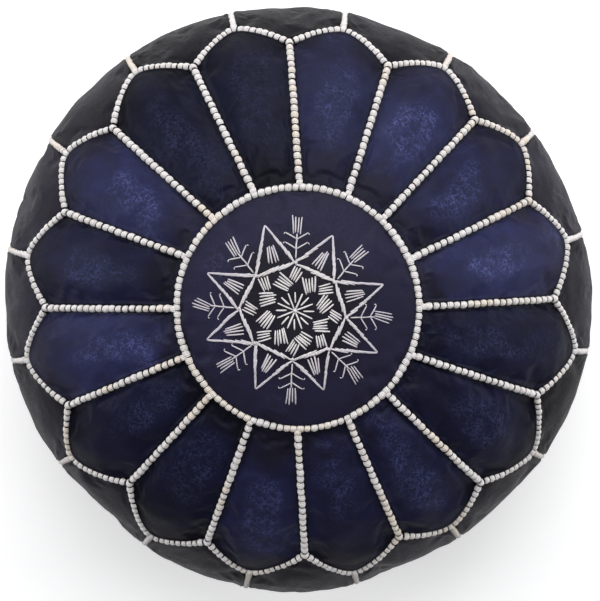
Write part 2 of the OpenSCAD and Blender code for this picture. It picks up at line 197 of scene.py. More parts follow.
def fractal(p, size, seed, octaves):
    """Sum of noise at halving sizes and strengths, still between -1 and 1."""
    total, weight = 0.0, 0.0
    for i in range(octaves):
        total = total + noise(p, size / 2**i, seed + 31 * i) * 0.5**i
        weight += 0.5**i
    return total / weight


def smooth(x, low, high):
    t = np.clip((x - low) / (high - low), 0, 1)
    return t * t * (3 - 2 * t)


# Mesh building
def grid_faces(n, m, wrap=False):
    index = np.arange(n * m).reshape(n, m)
    if wrap:
        index = np.vstack([index, index[:1]])
    corners = [index[:-1, :-1], index[:-1, 1:], index[1:, 1:], index[1:, :-1]]
    return np.stack(corners, -1).reshape(-1, 4)


def tube_faces(start, rings, sides, turned=False):
    """Faces of a closed tube of point rings numbered from `start`, or the same turned over."""
    index = start + np.arange(rings * sides).reshape(rings, sides)
    after = np.roll(index, -1, 1)
    corners = [index[:-1], after[:-1], after[1:], index[1:]]
    caps = [index[0][::-1], index[-1]]
    if turned:
        corners = [index[:-1], index[1:], after[1:], after[:-1]]
        caps = [index[0], index[-1][::-1]]
    ends = [[cap[0], *cap[i:i + 3]] for cap in caps for i in range(1, sides - 2, 2)]
    return np.concatenate([np.stack(corners, -1).reshape(-1, 4), ends])


def thicken(outer, inner, faces):
    """Closed shell: outer faces, the same faces turned on the inner points, and walls between."""
    n = len(outer)
    a = faces.ravel()
    b = np.roll(faces, -1, 1).ravel()
    single = ~np.isin(a * n + b, b * n + a)
    a, b = a[single], b[single]
    walls = np.stack([b, a, a + n, b + n], 1)
    return np.concatenate([outer, inner]), [faces, faces[:, ::-1] + n, walls]


def new_object(name, verts, faces, mat, fields=None):
    """Object from points in millimetres, a list of face arrays, a material and vertex fields."""
    mesh = bpy.data.meshes.new(name)
    mesh.vertices.add(len(verts))
    mesh.vertices.foreach_set("co", (verts * MM).astype(np.float32).ravel())
    loops = np.concatenate([f.ravel() for f in faces]).astype(np.int32)
    sizes = np.concatenate([np.full(len(f), f.shape[1]) for f in faces])
    starts = np.concatenate([[0], np.cumsum(sizes)[:-1]]).astype(np.int32)
    mesh.loops.add(len(loops))
    mesh.loops.foreach_set("vertex_index", loops)
    mesh.polygons.add(len(sizes))
    mesh.polygons.foreach_set("loop_start", starts)
    mesh.update(calc_edges=True)
    mesh.validate()
    mesh.shade_smooth()
    for field, values in (fields or {}).items():
        mesh.attributes.new(field, "FLOAT", "POINT").data.foreach_set(
            "value", values.astype(np.float32).ravel()
        )
    if mat:
        mesh.materials.append(mat)
    obj = bpy.data.objects.new(name, mesh)
    bpy.context.scene.collection.objects.link(obj)
    return obj


def sample(table, u, v, wrap=False):
    """Catmull-Rom lookup in an (n, m, ...) table at u, v from 0 to 1; n wraps round on request."""
    n, m = table.shape[:2]

    def weights(t):
        t2, t3 = t * t, t * t * t
        return (
            (-t3 + 2 * t2 - t) / 2, (3 * t3 - 5 * t2 + 2) / 2,
            (-3 * t3 + 4 * t2 + t) / 2, (t3 - t2) / 2,
        )

    x, y = u * (n if wrap else n - 1), v * (m - 1)
    i = np.floor(x).astype(int) if wrap else np.clip(np.floor(x).astype(int), 0, n - 2)
    j = np.clip(np.floor(y).astype(int), 0, m - 2)
    wx, wy = weights(x - i), weights(y - j)
    total = 0.0
    for a in range(4):
        row = (i + a - 1) % n if wrap else np.clip(i + a - 1, 0, n - 1)
        for b in range(4):
            col = np.clip(j + b - 1, 0, m - 1)
            w = wx[a] * wy[b]
            total = total + table[row, col] * (w[..., None] if table.ndim == 3 else w)
    return total


# Panels: each is a grid of azimuth and arc length between its seams
def panel_points(kind, k, u, v):
    """Azimuth and arc length of panel k at u across and v downhill, both from 0 to 1."""
    if kind == "petal":
        az, low = scallop(k, u)
        high = s_of_r(RING_R)
    elif kind == "side":
        az, high = side_top(k, u)
        low = S_BASE
    else:
        az, high, low = 360 * u, 0.0, s_of_r(RING_R)
    s = high + (low - high) * v
    if kind == "petal":
        r = profile(s)[0]
        az = az + (1 - u) * lean(k, r) + u * lean(k + 1, r)
    return az, s


def panel_grid(kind, k, n, m):
    u = np.arange(n) / n if kind == "medallion" else np.linspace(0, 1, n)
    v = np.linspace(HUB_V if kind == "medallion" else 0.0, 1, m)
    u, v = np.meshgrid(u, v, indexing="ij")
    az, s = panel_points(kind, k, u, v)
    return u, v, az, s


# Points across and downhill in each kind of panel, as simulated and as shown
COARSE = {"petal": (19, 37), "side": (21, 51), "medallion": (84, 22)}
FINE = {"petal": (73, 131), "side": (73, 161), "medallion": (360, 96)}
PANELS = (
    [("medallion", 0)]
    + [("petal", k) for k in range(PETALS)]
    + [("side", k) for k in range(PETALS)]
)
START = {"medallion": -2.2, "petal": -3.4, "side": -3.2}   # interior's height before it is blown up
REST = {"medallion": 0.3, "petal": 1.4, "side": -0.6}      # and after, on average
SIM_CAP, SIM_FRAMES = 6.0, 20
CLOTH = {
    "quality": 6, "mass": 0.05, "vertex_group_mass": "seams", "shrink_min": -0.02,
    "tension_stiffness": 40, "compression_stiffness": 20, "shear_stiffness": 15,
    "bending_stiffness": 0.8, "tension_damping": 20, "compression_damping": 20,
    "use_pressure": True, "uniform_pressure_force": 4,
}


def coarse_start(kind, k):
    n, m = COARSE[kind]
    u, v, az, s = panel_grid(kind, k, n, m)
    edge = 1 - v
    if kind != "medallion":
        edge = np.minimum(np.minimum(u, 1 - u) * 2, np.minimum(v, 1 - v) * 3)
    point, normal = frame_at(az, s)
    ruffle = fractal(point + 400 * k, 24, 5, 2) * 1.1
    depth = -SEAM_SINK + (START[kind] + SEAM_SINK + ruffle) * smooth(edge, 0, 0.25)
    return point + normal * depth[..., None], depth, normal


def inflate():
    """Blows every panel out between its seams with one cloth simulation, and returns how far
    each grid point ends above the nominal surface, and how far it slid along it."""
    starts, verts, faces, pins, first = {}, [], [], [], 0
    for kind, k in PANELS:
        n, m = COARSE[kind]
        point, depth, normal = coarse_start(kind, k)
        starts[kind, k] = (first, n, m, point, depth, normal)
        wrap = kind == "medallion"
        faces.append(grid_faces(n, m, wrap) + first)
        pin = np.zeros((n, m))
        pin[:, -1] = 1
        if not wrap:
            pin[:, 0] = pin[0] = pin[-1] = 1
        pins.append(pin.ravel())
        verts.append(point.reshape(-1, 3))
        first += n * m
    verts = np.concatenate(verts)
    pins = np.concatenate(pins)
    sim = new_object("leather_in_simulation", verts, [np.concatenate(faces)], None)
    group = sim.vertex_groups.new(name="seams")
    group.add([int(i) for i in np.nonzero(pins)[0]], 1.0, "REPLACE")
    cloth = sim.modifiers.new("Cloth", "CLOTH")
    for key, value in CLOTH.items():
        setattr(cloth.settings, key, value)
    cloth.settings.effector_weights.gravity = 0
    cloth.collision_settings.use_collision = False
    cloth.collision_settings.use_self_collision = False
    cloth.point_cache.frame_start, cloth.point_cache.frame_end = 1, SIM_FRAMES
    scene = bpy.context.scene
    for i in range(1, SIM_FRAMES + 1):
        scene.frame_set(i)
    done = sim.evaluated_get(bpy.context.evaluated_depsgraph_get()).data
    end = np.empty(len(verts) * 3, np.float32)
    done.vertices.foreach_get("co", end)
    end = end.reshape(-1, 3) / MM
    result = {}
    for key, (first, n, m, point, depth, normal) in starts.items():
        moved = end[first:first + n * m].reshape(n, m, 3) - point
        length = np.linalg.norm(moved, axis=-1, keepdims=True)
        moved = moved * np.minimum(1, SIM_CAP / np.maximum(length, 1e-6))
        up = (moved * normal).sum(-1)
        result[key] = (depth + up, moved - normal * up[..., None])
    bpy.data.objects.remove(sim)
    scene.frame_set(1)
    return result


inflated = inflate()


# Materials
class Nodes:
    """A new material and short ways to add nodes to it."""

    def __init__(self, name):
        self.mat = bpy.data.materials.new(name)
        self.mat.use_nodes = True
        self.tree = self.mat.node_tree
        self.shader = self.tree.nodes["Principled BSDF"]
        self.where = self.add("ShaderNodeTexCoord").outputs["Object"]

    def add(self, kind, inputs=None, **settings):
        node = self.tree.nodes.new(kind)
        for key, value in settings.items():
            setattr(node, key, value)
        for key, value in (inputs or {}).items():
            self.put(node.inputs[key], value)
        return node

    def put(self, socket, value):
        if isinstance(value, bpy.types.NodeSocket):
            self.tree.links.new(value, socket)
        else:
            socket.default_value = value

    def noise(self, scale, detail, stretch=None, rough=0.5):
        where = self.where
        if stretch:
            where = self.add("ShaderNodeMapping", {"Vector": where, "Scale": stretch}).outputs[0]
        return self.add(
            "ShaderNodeTexNoise",
            {"Vector": where, "Scale": scale, "Detail": detail, "Roughness": rough},
        ).outputs["Fac"]

    def field(self, name):
        return self.add("ShaderNodeAttribute", attribute_name=name).outputs["Fac"]

    def math(self, operation, a, b=0.0, clamp=False):
        node = self.add("ShaderNodeMath", {0: a, 1: b}, operation=operation)
        node.use_clamp = clamp
        return node.outputs[0]

    def ranged(self, value, low, high, out_low=0.0, out_high=1.0):
        return self.add(
            "ShaderNodeMapRange",
            {"Value": value, "From Min": low, "From Max": high, "To Min": out_low, "To Max": out_high},
        ).outputs[0]

    def mix(self, factor, a, b, blend="MIX"):
        node = self.add("ShaderNodeMix", data_type="RGBA", blend_type=blend)
        self.put(node.inputs["Factor"], factor)
        for socket, value in ((node.inputs[6], a), (node.inputs[7], b)):
            self.put(socket, (*value, 1.0) if isinstance(value, tuple) and len(value) == 3 else value)
        return node.outputs[2]

    def bump(self, height, strength, distance, under=None):
        node = self.add(
            "ShaderNodeBump", {"Height": height, "Strength": strength, "Distance": distance}
        )
        if under is not None:
            self.put(node.inputs["Normal"], under)
        return node.outputs[0]

    def finish(self, colour, roughness, normal=None, **uniform):
        self.put(self.shader.inputs["Base Color"], colour)
        self.put(self.shader.inputs["Roughness"], roughness)
        if normal is not None:
            self.put(self.shader.inputs["Normal"], normal)
        for key, value in uniform.items():
            self.shader.inputs[key.replace("_", " ")].default_value = value
        return self.mat


def leather(name, deep, plain, rubbed_and_highlit, edge, rough, grain=1.0, gloss=0.25):
    """Dyed leather: deep where the colour took poorly, plain where it took well, lighter in creased
    patches with pale crease lines, and dark at the seams. The lighter patches are partly real wear,
    partly painted highlight; the pale crease lines are painted highlight on the crinkles; the dark
    seam edges are painted shade where the leather dips under the cord, partly its own dark edge."""
    g = Nodes(name)
    cells = g.add(
        "ShaderNodeTexVoronoi", {"Vector": g.where, "Scale": 620.0}, feature="DISTANCE_TO_EDGE"
    ).outputs["Distance"]
    pores = g.ranged(cells, 0.0, 0.25)
    mottle = g.noise(55.0, 5.0, rough=0.62)
    fine = g.noise(420.0, 4.0, rough=0.65)
    scratches = g.noise(260.0, 3.0, rough=0.7)
    off_middle = g.math("SUBTRACT", g.noise(230.0, 3.0, rough=0.6), 0.5)
    lines = g.ranged(g.math("ABSOLUTE", off_middle), 0.0, 0.05, 1.0, 0.0)
    broad = g.math("ADD", 0.35, g.math("MULTIPLY", g.ranged(mottle, 0.3, 0.62), 0.65))
    wear_and_highlight = g.math("MULTIPLY", g.field("wear_and_sheen"), broad, clamp=True)
    wear_and_highlight = g.math("MULTIPLY", wear_and_highlight, g.ranged(scratches, 0.3, 0.7, 0.55, 1.25), clamp=True)
    # Deep where this field is low: partly real, partly painted shade at each petal's two ends.
    dyed_and_shaded = g.math("ADD", g.field("dye_and_shade"), g.ranged(mottle, 0.3, 0.7, -0.3, 0.3), clamp=True)
    base = g.mix(dyed_and_shaded, deep, plain)
    # Lighter patches: partly real wear, partly painted highlight in the middle of each petal.
    base = g.mix(g.math("MULTIPLY", wear_and_highlight, 0.36), base, rubbed_and_highlit)
    # Pale crease lines: painted highlight on the crinkles.
    crease_highlight_strokes = g.math("MULTIPLY", lines, g.ranged(g.noise(95.0, 2.0), 0.34, 0.54))
    base = g.mix(g.math("MULTIPLY", crease_highlight_strokes, wear_and_highlight), base, tuple(2.4 * c for c in rubbed_and_highlit))
    base = g.mix(g.ranged(fine, 0.3, 0.75, 0.0, 0.35), base, deep)
    # Near-black by the seams: painted shade where the leather dips under the cord, partly its own dark
    # edge.
    base = g.mix(g.field("seam"), base, edge)
    # Per-panel colour: partly the hide's own, partly painted light and shade.
    tone_and_light = g.add("ShaderNodeCombineColor", {i: g.field("tone_and_light") for i in range(3)}).outputs[0]
    toned = g.mix(1.0, base, tone_and_light, "MULTIPLY")
    roughness = g.math("ADD", g.ranged(fine, 0.3, 0.7, rough - 0.06, rough + 0.1),
                       g.math("MULTIPLY", wear_and_highlight, -0.05))
    normal = g.bump(pores, 0.25 * grain, 0.0002)
    normal = g.bump(g.math("MULTIPLY", lines, g.field("wear_and_sheen")), 0.35 * grain, 0.0005, normal)
    normal = g.bump(g.noise(120.0, 5.0, rough=0.6), 0.3 * grain, 0.0008, normal)
    g.shader.inputs["Specular Tint"].default_value = (0.80, 0.85, 1.0, 1.0)
    return g.finish(toned, roughness, normal, IOR=1.45, Specular_IOR_Level=gloss)


def thread(name, light, dark, warm):
    """Twisted thread: light, turning warm where the tint is high, with darker fibres and stains."""
    g = Nodes(name)
    fibres = g.noise(1500.0, 2.0, rough=0.7)
    stains = g.noise(70.0, 3.0)
    base = g.mix(g.field("tint"), light, warm)
    base = g.mix(g.ranged(stains, 0.45, 0.8, 0.0, 0.5), base, dark)
    base = g.mix(g.ranged(fibres, 0.35, 0.8, 0.0, 0.45), base, dark)
    normal = g.bump(fibres, 0.5, 0.0002)
    return g.finish(
        base, g.ranged(fibres, 0.2, 0.8, 0.52, 0.77), normal,
        Sheen_Weight=0.15, Sheen_Roughness=0.5, Specular_IOR_Level=0.35,
    )


def metal(name, bright, tarnish):
    """Brushed metal with dull, tarnished patches."""
    g = Nodes(name)
    age = g.noise(160.0, 5.0, rough=0.65)
    brushed = g.noise(900.0, 3.0, stretch=(0.15, 1.0, 1.0))
    base = g.mix(g.ranged(age, 0.42, 0.66), bright, tarnish)
    normal = g.bump(brushed, 0.25, 0.0001)
    return g.finish(base, g.ranged(age, 0.3, 0.7, 0.26, 0.5), normal, Metallic=1.0)


def tape_material():
    g = Nodes("zip_tape_weave")
    fine, cross = (
        g.add("ShaderNodeTexWave", {"Vector": g.where, "Scale": scale, "Distortion": 0.4},
              bands_direction=way).outputs["Fac"]
        for way, scale in (("X", 520.0), ("Y", 620.0))
    )
    weave = g.math("MULTIPLY", fine, cross)
    base = g.mix(weave, (0.012, 0.012, 0.018), (0.045, 0.045, 0.062))
    base = g.mix(g.ranged(g.noise(90.0, 3.0), 0.5, 0.8, 0.0, 0.4), base, (0.09, 0.085, 0.085))
    return g.finish(base, g.ranged(fine, 0.0, 1.0, 0.75, 0.92), g.bump(weave, 0.6, 0.0003))


def cotton_material():
    g = Nodes("cotton_wadding_fluff")
    tufts = g.noise(45.0, 6.0, rough=0.7)
    base = g.mix(g.ranged(tufts, 0.3, 0.7), (0.46, 0.43, 0.38), (0.74, 0.71, 0.66))
    normal = g.bump(g.noise(160.0, 6.0, rough=0.75), 0.8, 0.002)
    return g.finish(base, g.ranged(tufts, 0.2, 0.8, 0.85, 0.98), normal, Sheen_Weight=0.3)


NAVY = leather("navy_leather", (0.0100, 0.0090, 0.0172), (0.0165, 0.0180, 0.0590),
               (0.036, 0.042, 0.112), (0.004, 0.004, 0.006), 0.44, 1.0, 0.13)
MIDNIGHT = leather("medallion_leather_dye", (0.0125, 0.0105, 0.0160), (0.0190, 0.0170, 0.0440),
                   (0.036, 0.040, 0.088), (0.005, 0.005, 0.007), 0.5, 1.0, 0.17)
CHARCOAL = leather("side_leather_dye", (0.0085, 0.0072, 0.0105), (0.0140, 0.0123, 0.0215),
                   (0.030, 0.029, 0.040), (0.004, 0.004, 0.005), 0.5, 0.8, 0.10)
LIP = leather("seam_lip_leather", (0.004, 0.004, 0.005), (0.007, 0.007, 0.009),
              (0.012, 0.012, 0.016), (0.003, 0.003, 0.004), 0.5)
CREAM = thread("cream_seam_thread", (0.86, 0.83, 0.83), (0.60, 0.55, 0.53), (0.86, 0.77, 0.67))
STITCH = thread("cream_embroidery_thread", (0.92, 0.89, 0.88), (0.54, 0.50, 0.495),
                (0.56, 0.52, 0.60))
DARK_STITCH = thread("dark_zip_thread", (0.05, 0.05, 0.065), (0.02, 0.02, 0.03), (0.07, 0.06, 0.06))
BRASS = metal("aged_brass", (0.55, 0.40, 0.19), (0.22, 0.15, 0.075))
TAPE = tape_material()
COTTON = cotton_material()


# Leather panels
def seams_of(kind, k, u, az, s):
    """(distance to the seam, place along it) for each seam round a panel, in millimetres."""
    r = profile(s)[0]
    turn = r * np.radians(az)
    ring = s_of_r(RING_R)
    if kind == "petal":
        return [
            (r * np.radians(az - spoke_az(k) - lean(k, r)), s),
            (r * np.radians(spoke_az(k + 1) + lean(k + 1, r) - az), s),
            (s - ring, turn), (0.82 * (scallop(k, u)[1] - s), 1.2 * turn),
        ]
    if kind == "side":
        return [
            (r * np.radians(az - tip_az(k - 1)), s), (r * np.radians(tip_az(k) - az), s),
            (0.82 * (s - side_top(k, u)[1]), 1.2 * turn), (S_BASE - s, turn),
        ]
    return [(ring - s, RING_R * np.radians(az))]


def fold_lines(kind, k, u, v, width, length):
    """Height of soft creases that run from a panel's top or bottom edge towards its middle."""
    x, y = (u - 0.5) * width, (v - 0.5) * length
    total = np.zeros_like(u)
    for i in range(5):
        a, b, c, d, e = (float(hash01(k + 7, i + 3, j, len(kind))) for j in range(5))
        edge_x, edge_y = (a - 0.5) * width, (0.5 if b > 0.35 else -0.5) * length
        mid_x, mid_y = (c - 0.5) * 0.5 * width, (d - 0.5) * 0.35 * length
        dx, dy = mid_x - edge_x, mid_y - edge_y
        size = math.hypot(dx, dy)
        t = ((x - edge_x) * dx + (y - edge_y) * dy) / size**2
        off = ((x - edge_x) * dy - (y - edge_y) * dx) / size
        spread = 4 + 6 * e + 7 * np.clip(t, 0, 1)
        ends = smooth(t, -0.05, 0.25) * (1 - smooth(t, 0.55, 1.1))
        total += (0.5 - e) * 2.6 * ends * np.exp(-((off / spread) ** 2))
    return total


def creases(kind, v, az, s, points, middle):
    """How creased a panel is and how much wear lightens it at each point, partly a painted highlight in
    the middle of each petal, and how well it took the colour, partly painted shade at each petal's two
    ends.
    """
    patch = fractal(points, 42, 11, 3)
    if kind == "petal":
        # Middle of each petal: creased, and lighter as a painted highlight where the puffed leather
        # faces the lamps.
        centred = np.exp(-(((v - 0.45) / 0.26) ** 2)) * middle
        # Darker towards the ring and the scallop edge: partly real, partly painted shade where the
        # leather dips to the seams.
        dyed_and_shaded = 0.9 * np.exp(-(((v - 0.52) / 0.38) ** 4)) + 0.5 * patch
        return smooth(patch + 1.1 * centred, 0.15, 1.05), dyed_and_shaded
    if kind == "side":
        return 0.35 * smooth(patch, 0.1, 0.9) * middle, 0.4 + 0.5 * patch
    left = 0.5 * np.cos(np.radians(az - 190))
    creased = smooth(fractal(points, 30, 4, 3) + left, 0.2, 0.9)
    return creased * smooth(s, 55, 80) * middle, smooth(s, 30, 75) + 0.4 * patch


# Width and length over which a panel's folds are laid out, their strength, and how uneven it is
FOLDS = {"petal": (70, 175, 0.75, 0.55), "side": (96, 250, 0.8, 0.95), "medallion": (0, 0, 0, 0.55)}


def panel_surface(kind, k):
    """Outer points of a panel, its normals, its height above the nominal surface and fields."""
    n, m = FINE[kind]
    u, v, az, s = panel_grid(kind, k, n, m)
    point, normal = frame_at(az, s)
    seams = seams_of(kind, k, u, az, s)
    near = np.clip(np.min([d for d, _ in seams], axis=0), 0, None)
    wrap = kind == "medallion"
    inside = smooth(near, 2, 24)
    if inflated:
        height, slide = inflated[kind, k]
        across = np.clip((v - HUB_V) / (1 - HUB_V), 0, 1) if wrap else v
        h = sample(height, u, across, wrap)
        point = point + sample(slide, u, across, wrap)
    else:
        h = -SEAM_SINK + (REST[kind] + SEAM_SINK) * smooth(near, -6, 26)
    if kind == "side":
        h = -SEAM_SINK + (h + SEAM_SINK) * 0.9 - 0.2 * inside
    width, length, fold, uneven = FOLDS[kind]
    if fold:
        h = h + fold_lines(kind, k, u, v, width, length) * fold * inside
    shifted = point + 317.0 * (k + 1)
    creased, dyed_and_shaded = creases(kind, v, az, s, shifted, smooth(near, 8, 30))
    ridges = 1 - np.abs(noise(shifted, 9.0, 21))
    fine_ridges = 1 - np.abs(noise(shifted * np.array([1.0, 1.0, 1.4]), 4.2, 23))
    h = h + fractal(shifted, 34, 2, 2) * uneven * inside
    h = h + creased * (0.32 * ridges**3 + 0.2 * fine_ridges**3 - 0.12)
    for d, t in seams:
        beat = 0.5 + 0.5 * np.cos(2 * math.pi * t / BEAD_PITCH)
        h = h - 0.5 * beat * np.exp(-np.clip(d, 0, None) / 4.5) * smooth(d, 0.5, 3)
    h = h + 0.55 * np.exp(-(((near - 3.9) / 0.9) ** 2))
    outer = point + normal * h[..., None]
    fields = {
        "wear_and_sheen": creased,
        "seam": np.exp(-np.clip(near - 3.0, 0, None) / 1.6),
        "dye_and_shade": np.clip(dyed_and_shaded, 0, 1),
        # Hide colour times the per-panel number, partly painted light and shade.
        "tone_and_light": (1.0 + 0.10 * noise(shifted, 60, 9)) * HIDE_TONE_AND_LIGHT[kind][k],
    }
    return outer, normal, h, fields


# The panels are cut from several hides, some coloured lighter than others, and some panels catch
# more light than others: each number is partly the hide's own colour and partly painted light and
# shade. Each number makes one panel about as light as it is in the photograph.
HIDE_TONE_AND_LIGHT = {
    "petal": (1.6, 0.95, 1.2, 0.9, 0.32, 0.38, 1.4, 0.75, 1.6, 0.58, 0.5, 1.1, 0.85, 0.85, 0.6, 0.55),
    "side": (0.95, 1.6, 1.15, 0.8, 0.4, 0.45, 1.1, 1.9, 1.7, 1.15, 1.3, 0.9, 0.85, 1.4, 0.9, 0.4),
    "medallion": (1.0,),
}


def leather_panel(name, kind, k, mat):
    outer, normal, h, fields = panel_surface(kind, k)
    inner = outer - normal * HIDE
    n, m = h.shape
    outer, inner = outer.reshape(-1, 3), inner.reshape(-1, 3)
    faces = grid_faces(n, m, kind == "medallion")
    fields = {key: values.ravel() for key, values in fields.items()}
    if kind == "medallion":
        hub = outer.reshape(n, m, 3)[:, 0].mean(0)
        outer = np.vstack([outer, hub])
        inner = np.vstack([inner, hub - [0, 0, HIDE]])
        ring = np.arange(n) * m
        caps = np.stack([np.full(n, n * m), ring, np.roll(ring, -1)], 1)
        fields = {
            key: np.append(values, values.reshape(n, m)[:, 0].mean()) for key, values in fields.items()
        }
        verts, parts = thicken(outer, inner, faces)
        count = len(outer)
        hub_walls = np.isin(parts[2] % count, ring).sum(1) == 4
        parts[2] = parts[2][~hub_walls]
        parts += [caps, caps[:, ::-1] + count]
    else:
        verts, parts = thicken(outer, inner, faces)
    fields = {key: np.tile(values, 2) for key, values in fields.items()}
    obj = new_object(name, verts, parts, mat, fields)
    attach(obj, ROOT)
    return obj, h


def two_digits(k):
    return f"{k + 1:02d}"


medallion, medallion_h = leather_panel("medallion_leather", "medallion", 0, MIDNIGHT)
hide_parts("medallion")
for k in range(PETALS):
    petal, _ = leather_panel(f"petal_leather_{two_digits(k)}", "petal", k, NAVY)
    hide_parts(f"petal_{two_digits(k)}")
    flank, _ = leather_panel(f"side_leather_{two_digits(k)}", "side", k, CHARCOAL)
    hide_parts(f"side_panel_{two_digits(k)}")


# Base panel: the rounded edge, the flat ring that stands on the floor, and a hollow middle
# with a slit for the zip
BASE_RISE, DISH_IN, DISH_OUT = 7.0, 140.0, 150.0
SLIT_HALF_LEN, SLIT_HALF = 126.0, 7.8
SEWN_X, SEWN_Y = 134.0, 16.0    # the leather lies flat this far from the zip's middle
EDGE_ROWS, FLAT_ROWS, WALL_ROWS, MIDDLE_ROWS = 14, 11, 8, 44
BASE_SEAM_R, BASE_HIDE, LIP_HIDE = 208.0, 2.0, 1.6


def base_panel_mesh():
    n = 384
    az = np.arange(n) * 360.0 / n
    s = np.linspace(S_BASE, S_KNOTS[-1], EDGE_ROWS)
    r_edge, z_edge, _ = profile(s)
    flat_r = np.linspace(CORNER_X, DISH_OUT, FLAT_ROWS + 1)[1:]
    climb = np.linspace(0, 1, WALL_ROWS + 1)[1:]
    rows_r = np.concatenate([r_edge, flat_r, DISH_OUT + (DISH_IN - DISH_OUT) * climb])
    rows_z = np.concatenate([z_edge, np.zeros(FLAT_ROWS), BASE_RISE * smooth(climb, 0, 1)])
    a = np.radians(az)
    round_xy = np.stack([np.cos(a), np.sin(a)], -1)
    xy = rows_r[None, :, None] * round_xy[:, None, :]
    z = np.repeat(rows_z[None], n, 0)
    biggest = np.max(np.abs(round_xy), axis=1, keepdims=True)
    slit = round_xy / biggest * [SLIT_HALF_LEN, SLIT_HALF]
    t = np.linspace(0, 1, MIDDLE_ROWS + 1)[1:] ** 0.85
    middle = xy[:, -1:, :] * (1 - t)[None, :, None] + slit[:, None, :] * t[None, :, None]
    xy = np.concatenate([xy, middle], 1)
    z = np.concatenate([z, np.full((n, len(t)), BASE_RISE)], 1)
    points = np.concatenate([xy, z[..., None]], -1)
    m = points.shape[1]
    normal = np.zeros((n, m, 3))
    normal[..., 2] = -1
    normal[:, :EDGE_ROWS] = frame_at(az[:, None], s[None, :])[1]
    from_edge = np.arange(m)[None, :] * np.ones((n, 1))
    ridges = 1 - np.abs(noise(points, 8.0, 62))
    folds = np.abs(fractal(points, 36, 61, 3)) * 0.9 + ridges**3 * 0.25
    pucker = 0.5 + 0.5 * np.cos(2 * math.pi * BASE_SEAM_R * a / BEAD_PITCH)[:, None]
    corner = from_edge < EDGE_ROWS
    lift = np.where(corner, -folds * smooth(from_edge, 1, 6) * 0.5, 0.0)
    lift = lift - 0.5 * pucker * np.exp(-from_edge / 2.5)
    lift = lift - SEAM_SINK * np.exp(-from_edge / 1.2) * corner
    outer = points + normal * lift[..., None]
    from_zip = np.maximum(np.abs(points[..., 0]) - SEWN_X, np.abs(points[..., 1]) - SEWN_Y)
    in_dish = (from_edge >= EDGE_ROWS + FLAT_ROWS + WALL_ROWS - 1) * smooth(from_zip, 0, 18)
    outer[..., 2] -= folds * in_dish * 0.8
    on_floor = (from_edge >= EDGE_ROWS - 1) & (from_edge < EDGE_ROWS + FLAT_ROWS)
    outer[..., 2] = np.where(on_floor, np.abs(noise(points, 14.0, 63)) * 0.18, outer[..., 2])
    outer[..., 2] = np.maximum(outer[..., 2], 0.0)
    inner = points - normal * BASE_HIDE
    inner[:, 0] = outer[:, 0] - normal[:, 0] * LIP_HIDE
    worn_ring = np.exp(-(((np.hypot(points[..., 0], points[..., 1]) - 166) / 15) ** 2))
    fields = {
        "wear_and_sheen": 0.5 * worn_ring + 0.25 * smooth(folds, 0.4, 1.0),
        "seam": np.exp(-from_edge / 2.0),
        "dye_and_shade": np.full((n, m), 0.4),
        "tone_and_light": np.full((n, m), 1.1),
    }
    fields = {key: np.tile(values.ravel(), 2) for key, values in fields.items()}
    faces = grid_faces(n, m, True)
    verts, parts = thicken(outer.reshape(-1, 3), inner.reshape(-1, 3), faces)
    return new_object("base_leather_panel", verts, parts, CHARCOAL, fields)


base = base_panel_mesh()
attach(base, ROOT)
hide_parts("base_panel")


# Cords: a leather welt along each seam, whipped with beads of four thread strands
STRANDS, STRAND_PITCH, STRAND_SINK = 4, 1.2, 1.2
RINGS, SIDES = 7, 6


def bead_template():
    """Points of one bead (along, across, up) and its faces. Each strand arches over the welt."""
    verts, faces = [], []
    turn = np.arange(SIDES) * 2 * math.pi / SIDES
    along_part = 0.66 * np.cos(turn)[:, None] * np.array([1.0, 0, 0])
    for i in range(STRANDS):
        off = i - (STRANDS - 1) / 2
        out = abs(off) / ((STRANDS - 1) / 2)
        centre_up = 1.95 - 0.5 * out**2
        half_across = 2.62 - 0.42 * out**2
        for theta in np.radians(np.linspace(-100, 100, RINGS)):
            sine, cosine = math.sin(theta), math.cos(theta)
            along = off * STRAND_PITCH * (1 - 0.10 * abs(sine)) + 0.22 * sine
            up = -STRAND_SINK + (centre_up + STRAND_SINK) * cosine
            outward = np.array([0.0, sine, cosine])
            centre = np.array([along, half_across * sine, up])
            verts.append(centre + along_part + 0.58 * np.sin(turn)[:, None] * outward)
        faces.append(tube_faces(i * RINGS * SIDES, RINGS, SIDES, turned=True))
    return np.concatenate(verts), np.concatenate(faces)


BEAD_VERTS, BEAD_FACES = bead_template()


class Line:
    """A seam line on the nominal surface, measured by length."""

    def __init__(self, az, s, closed=False, sink=0.0):
        self.point, self.normal = frame_at(az, s)
        self.point = self.point - self.normal * sink
        steps = np.linalg.norm(np.diff(self.point, axis=0), axis=1)
        self.at = np.concatenate([[0], np.cumsum(steps)])
        self.length = float(self.at[-1])
        self.closed = closed

    def place(self, t):
        """Points, tangents and normals at distances t along the line."""

        def pick(values, x):
            x = np.mod(x, self.length) if self.closed else np.clip(x, 0, self.length)
            return np.stack([np.interp(x, self.at, values[:, i]) for i in range(3)], -1)

        point = pick(self.point, t)
        normal = pick(self.normal, t)
        normal /= np.linalg.norm(normal, axis=1, keepdims=True)
        tangent = pick(self.point, t + 0.6) - pick(self.point, t - 0.6)
        tangent -= normal * (tangent * normal).sum(1, keepdims=True)
        tangent /= np.linalg.norm(tangent, axis=1, keepdims=True)
        return point, tangent, normal


def beads(line, start, end, seed, swell=1.0, spacing=BEAD_PITCH, warmth=0.0):
    """Points and tints of the beads between two distances along a line."""
    count = max(1, int(round((end - start) / spacing)))
    pitch = (end - start) / count
    i = np.arange(count)
    centre = start + (i + 0.5) * pitch
    centre = centre + (hash01(i, seed, 1) - 0.5) * 0.5
    return bead_set(line, centre, pitch / BEAD_PITCH, seed, swell, warmth=warmth)


